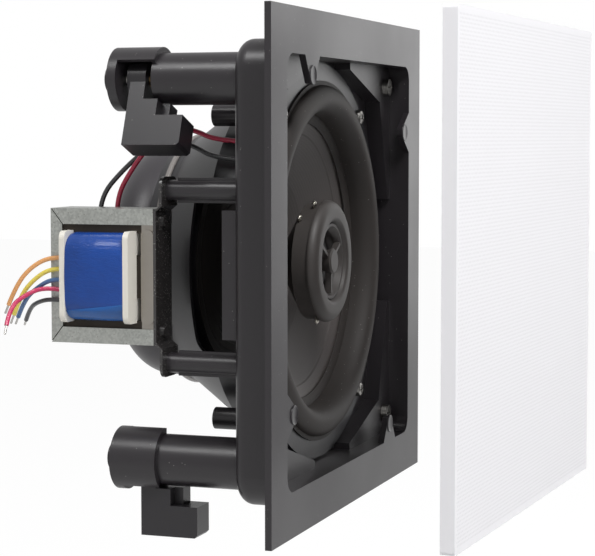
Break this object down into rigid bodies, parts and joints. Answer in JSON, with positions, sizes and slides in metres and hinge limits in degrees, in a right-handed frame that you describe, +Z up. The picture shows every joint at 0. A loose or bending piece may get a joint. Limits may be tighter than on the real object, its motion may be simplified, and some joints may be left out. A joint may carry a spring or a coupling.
{
  "type": "flush-mount loudspeaker with line transformer",
  "caption": "Square flush-mount loudspeaker with a coaxial driver, swing clamps and a line transformer on its back, and its square perforated grille taken off and set in front.",
  "frame": {"origin": "centre of the square opening, in the plane of the flange's rear face", "axes": "+X to the right as seen from the front, +Y backwards into the wall, +Z up"},
  "size_m": [0.2172, 0.2099, 0.2185],
  "materials": {
    "moulding": "fine grain",
    "basket": "semi-matt",
    "rubber": "matt",
    "cone": "matt",
    "former": "matt film",
    "copper": "enamelled copper",
    "spider_cloth": "woven",
    "plated_steel": "zinc plated",
    "ferrite": "sintered",
    "cover": "satin",
    "tweeter_plastic": "satin",
    "dome": "coated cloth",
    "galvanised": "galvanised",
    "laminations": "stacked sheets",
    "bobbin": "natural nylon",
    "blue_tape": "polyester tape",
    "arm_plastic": "satin",
    "brass_insert": "turned",
    "screw_steel": "zinc plated",
    "black_wire": "pvc",
    "red_wire": "pvc",
    "orange_wire": "pvc",
    "yellow_wire": "pvc",
    "blue_wire": "pvc",
    "pink_wire": "pvc",
    "tin": "tinned",
    "grille_paint": "white powder coat"
  },
  "bodies": {
    "frame": {"front_frame": "moulding", "basket": "basket", "surround": "rubber", "spider": "spider_cloth", "front_plate": "plated_steel", "magnet": "ferrite", "yoke": "plated_steel", "magnet_cover": "cover", "driver_screws": "screw_steel", "tweeter_stem": "plated_steel", "tweeter_housing": "tweeter_plastic", "tweeter_magnet": "plated_steel", "tweeter_dome": "dome", "tweeter_bezel": "tweeter_plastic", "phase_plug": "tweeter_plastic", "transformer_frame": "galvanised", "transformer_core": "laminations", "coil_former": "bobbin", "transformer_winding": "blue_tape", "transformer_strap": "galvanised", "strap_screws": "screw_steel", "strap_rivets": "plated_steel", "lead_black": "black_wire", "lead_red": "red_wire", "tap_lead_orange": "orange_wire", "tap_lead_yellow": "yellow_wire", "tap_lead_blue": "blue_wire", "tap_lead_pink": "pink_wire", "tap_lead_black": "black_wire", "tap_lead_ends": "tin", "grille": "grille_paint"},
    "cone_assembly": {"cone": "cone", "voice_coil_former": "former", "voice_coil": "copper"},
    "screw_1": {"clamp_screw_1": "screw_steel"},
    "insert_1": {"clamp_insert_1": "brass_insert"},
    "arm_1": {"clamp_arm_1": "arm_plastic"},
    "screw_2": {"clamp_screw_2": "screw_steel"},
    "insert_2": {"clamp_insert_2": "brass_insert"},
    "arm_2": {"clamp_arm_2": "arm_plastic"},
    "screw_3": {"clamp_screw_3": "screw_steel"},
    "insert_3": {"clamp_insert_3": "brass_insert"},
    "arm_3": {"clamp_arm_3": "arm_plastic"},
    "screw_4": {"clamp_screw_4": "screw_steel"},
    "insert_4": {"clamp_insert_4": "brass_insert"},
    "arm_4": {"clamp_arm_4": "arm_plastic"}
  },
  "joints": [
    {"name": "cone_travel", "type": "slide", "parent": "frame", "child": "cone_assembly", "axis": [0, 1, 0], "range_m": [-0.003, 0.003], "stiffness_N_per_m": 1000, "deforming": ["surround", "spider"]},
    {"name": "clamp_screw_turn_1", "type": "hinge", "parent": "frame", "child": "screw_1", "pos_m": [-0.0792, 0.04, -0.0792], "axis": [0, -1, 0], "range_deg": [0, 2520]},
    {"name": "clamp_travel_1", "type": "slide", "parent": "frame", "child": "insert_1", "axis": [0, 1, 0], "range_m": [0, 0.0056]},
    {"name": "clamp_swing_1", "type": "hinge", "parent": "insert_1", "child": "arm_1", "pos_m": [-0.0792, 0.06, -0.0792], "axis": [0, 1, 0], "range_deg": [-90, 0]},
    {"name": "clamp_screw_turn_2", "type": "hinge", "parent": "frame", "child": "screw_2", "pos_m": [-0.0792, 0.04, 0.0792], "axis": [0, -1, 0], "range_deg": [-1440, 1080]},
    {"name": "clamp_travel_2", "type": "slide", "parent": "frame", "child": "insert_2", "axis": [0, 1, 0], "range_m": [-0.0032, 0.0024]},
    {"name": "clamp_swing_2", "type": "hinge", "parent": "insert_2", "child": "arm_2", "pos_m": [-0.0792, 0.06, 0.0792], "axis": [0, 1, 0], "range_deg": [-21, 69]},
    {"name": "clamp_screw_turn_3", "type": "hinge", "parent": "frame", "child": "screw_3", "pos_m": [0.0792, 0.04, 0.0792], "axis": [0, -1, 0], "range_deg": [0, 2520]},
    {"name": "clamp_travel_3", "type": "slide", "parent": "frame", "child": "insert_3", "axis": [0, 1, 0], "range_m": [0, 0.0056]},
    {"name": "clamp_swing_3", "type": "hinge", "parent": "insert_3", "child": "arm_3", "pos_m": [0.0792, 0.06, 0.0792], "axis": [0, 1, 0], "range_deg": [0, 90]},
    {"name": "clamp_screw_turn_4", "type": "hinge", "parent": "frame", "child": "screw_4", "pos_m": [0.0792, 0.04, -0.0792], "axis": [0, -1, 0], "range_deg": [0, 2520]},
    {"name": "clamp_travel_4", "type": "slide", "parent": "frame", "child": "insert_4", "axis": [0, 1, 0], "range_m": [0, 0.0056]},
    {"name": "clamp_swing_4", "type": "hinge", "parent": "insert_4", "child": "arm_4", "pos_m": [0.0792, 0.06, -0.0792], "axis": [0, 1, 0], "range_deg": [0, 90]}
  ],
  "couplings": [
    {"joint": "clamp_screw_turn_1", "follows": "clamp_travel_1", "rad_per_m": 7854},
    {"joint": "clamp_screw_turn_2", "follows": "clamp_travel_2", "rad_per_m": 7854},
    {"joint": "clamp_screw_turn_3", "follows": "clamp_travel_3", "rad_per_m": 7854},
    {"joint": "clamp_screw_turn_4", "follows": "clamp_travel_4", "rad_per_m": 7854}
  ]
}
